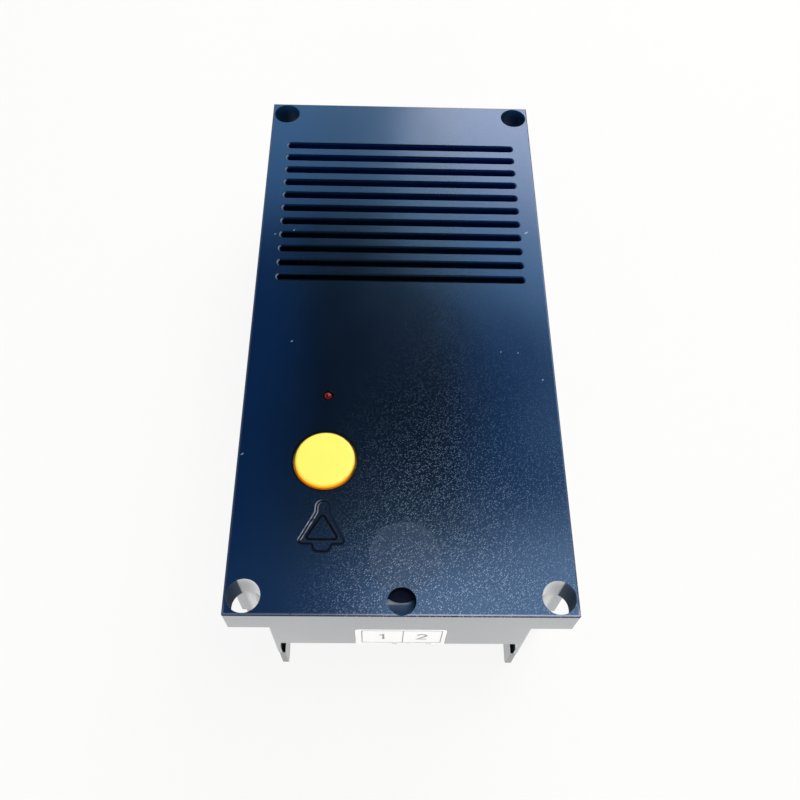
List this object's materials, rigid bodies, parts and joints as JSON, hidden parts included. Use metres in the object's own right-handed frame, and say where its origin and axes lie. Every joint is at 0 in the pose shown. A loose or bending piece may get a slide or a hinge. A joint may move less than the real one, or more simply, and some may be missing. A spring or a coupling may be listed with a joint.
{
  "type": "elevator intercom unit",
  "caption": "Flush-mount lift intercom: black moulded case with slotted speaker grille, yellow alarm button, red lamp, bell sign and a rear cover open for cables.",
  "frame": {"origin": "middle of the rear cover's back face, under the middle of the whole unit", "axes": "+X to the right across the face, +Y up the face, +Z out of the face; the unit lies on its back"},
  "size_m": [0.098, 0.2, 0.0553],
  "materials": {
    "housing_black": "fine spark texture, satin",
    "cover_black": "smooth satin",
    "screw_steel": "zinc plated",
    "label_white": "printed film, satin",
    "button_yellow": "smooth satin gloss",
    "ivory_plastic": "moulded nylon",
    "spring_steel": "drawn wire",
    "dark_plastic": "moulded",
    "lamp_red": "tinted clear resin",
    "soft_rubber": "soft matt",
    "can_aluminium": "drawn can",
    "wire_red": "insulated wire",
    "black_cloth": "fine woven",
    "frame_steel": "pressed and plated",
    "cone_paper": "pressed paper",
    "coil_copper": "enamelled copper winding",
    "spider_cloth": "resin treated cloth",
    "magnet_ferrite": "sintered ferrite",
    "board_green": "solder mask on glass fibre",
    "terminal_green": "moulded",
    "capacitor_sleeve": "shrink sleeve",
    "transformer_iron": "laminated core, varnished"
  },
  "bodies": {
    "housing": {"front_housing": "housing_black", "rear_cover": "cover_black", "cover_screws": "screw_steel", "marking_label": "label_white", "button_spring": "spring_steel", "switch_body": "dark_plastic", "indicator_lamp": "lamp_red", "lamp_spacer": "ivory_plastic", "microphone_boot": "soft_rubber", "microphone_capsule": "can_aluminium", "microphone_leads": "wire_red", "acoustic_cloth": "black_cloth", "speaker_gasket": "soft_rubber", "speaker_frame": "frame_steel", "speaker_surround": "soft_rubber", "speaker_cone": "cone_paper", "dust_cap": "cone_paper", "voice_coil": "coil_copper", "speaker_spider": "spider_cloth", "top_plate": "frame_steel", "ring_magnet": "magnet_ferrite", "pole_yoke": "frame_steel", "speaker_tags": "dark_plastic", "speaker_clamps": "screw_steel", "clamp_screws": "screw_steel", "speaker_leads": "wire_red", "circuit_board": "board_green", "board_screws": "screw_steel", "terminal_left": "terminal_green", "terminal_right": "terminal_green", "terminal_screws": "screw_steel", "speaker_header": "ivory_plastic", "controller_chip": "dark_plastic", "amplifier_chip": "dark_plastic", "filter_capacitors": "capacitor_sleeve", "line_transformer": "transformer_iron"},
    "button": {"alarm_button": "button_yellow", "switch_plunger": "ivory_plastic"}
  },
  "joints": [
    {"name": "alarm_press", "type": "slide", "parent": "housing", "child": "button", "axis": [0, 0, -1], "range_m": [0, 0.0015], "stiffness_N_per_m": 400, "deforming": ["button_spring"]}
  ]
}
